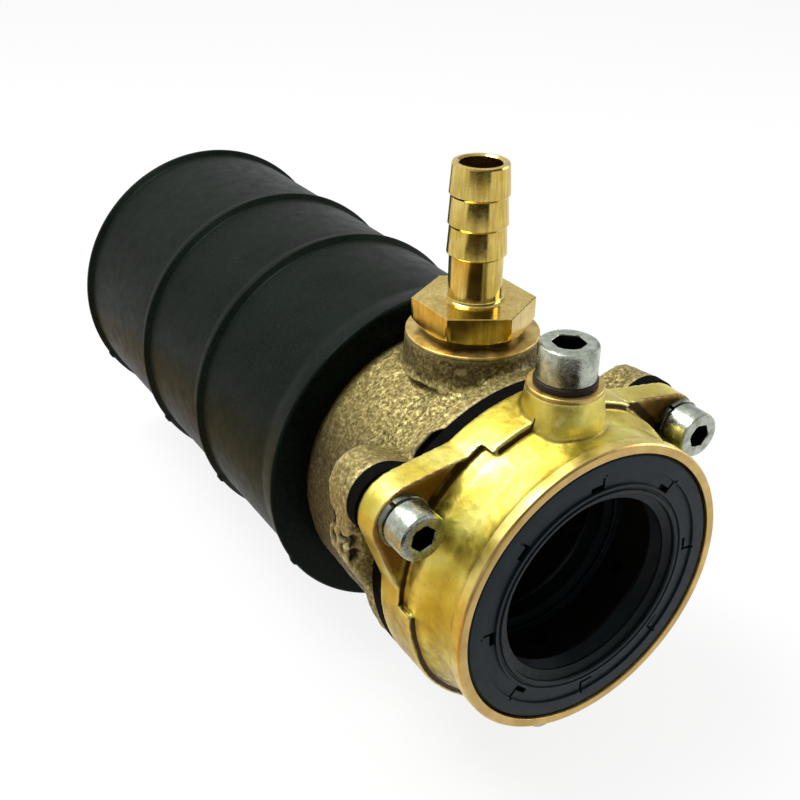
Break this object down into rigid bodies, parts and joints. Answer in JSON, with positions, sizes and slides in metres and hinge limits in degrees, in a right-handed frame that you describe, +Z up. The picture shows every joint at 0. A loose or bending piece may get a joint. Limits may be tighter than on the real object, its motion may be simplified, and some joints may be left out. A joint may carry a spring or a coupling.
{
  "type": "stuffing box",
  "caption": "Marine shaft stern gland: ribbed rubber sleeve on a cast bronze body with a hose barb, closed by an eared bronze seal cover with a grease plug.",
  "frame": {"origin": "on the shaft axis, in the front rim plane of the seal cover", "axes": "+Y along the shaft axis from the seal cover towards the stern tube, +Z up through the grease plug and the hose barb, +X to the right seen from the front"},
  "size_m": [0.0698, 0.159, 0.103],
  "materials": {
    "sleeve_rubber": "matte moulded rubber",
    "cast_bronze": "rough sand casting",
    "cover_bronze": "fettled casting with machined faces",
    "turned_brass": "turned",
    "turned_bronze": "turned",
    "brass_tube": "drawn tube",
    "bearing_rubber": "moulded nitrile rubber",
    "seal_rubber": "moulded nitrile rubber",
    "gasket_rubber": "cut sheet rubber",
    "spring_steel": "drawn wire",
    "stainless_steel": "tumbled",
    "washer_brown": "fibre"
  },
  "bodies": {
    "root": {"rubber_sleeve": "sleeve_rubber", "gland_body": "cast_bronze", "bearing_shell": "brass_tube", "bearing_liner": "bearing_rubber", "flange_gasket": "gasket_rubber", "seal_cover": "cover_bronze", "outer_lip_seal": "seal_rubber", "inner_lip_seal": "seal_rubber", "outer_garter_spring": "spring_steel", "inner_garter_spring": "spring_steel", "grease_ring": "turned_bronze", "hose_barb": "turned_brass", "grease_plug": "stainless_steel", "grease_plug_washer": "washer_brown", "cover_screw_left": "stainless_steel", "cover_screw_right": "stainless_steel", "cover_screw_bottom": "stainless_steel", "lock_washer_left": "stainless_steel", "lock_washer_right": "stainless_steel", "lock_washer_bottom": "stainless_steel"}
  },
  "joints": []
}
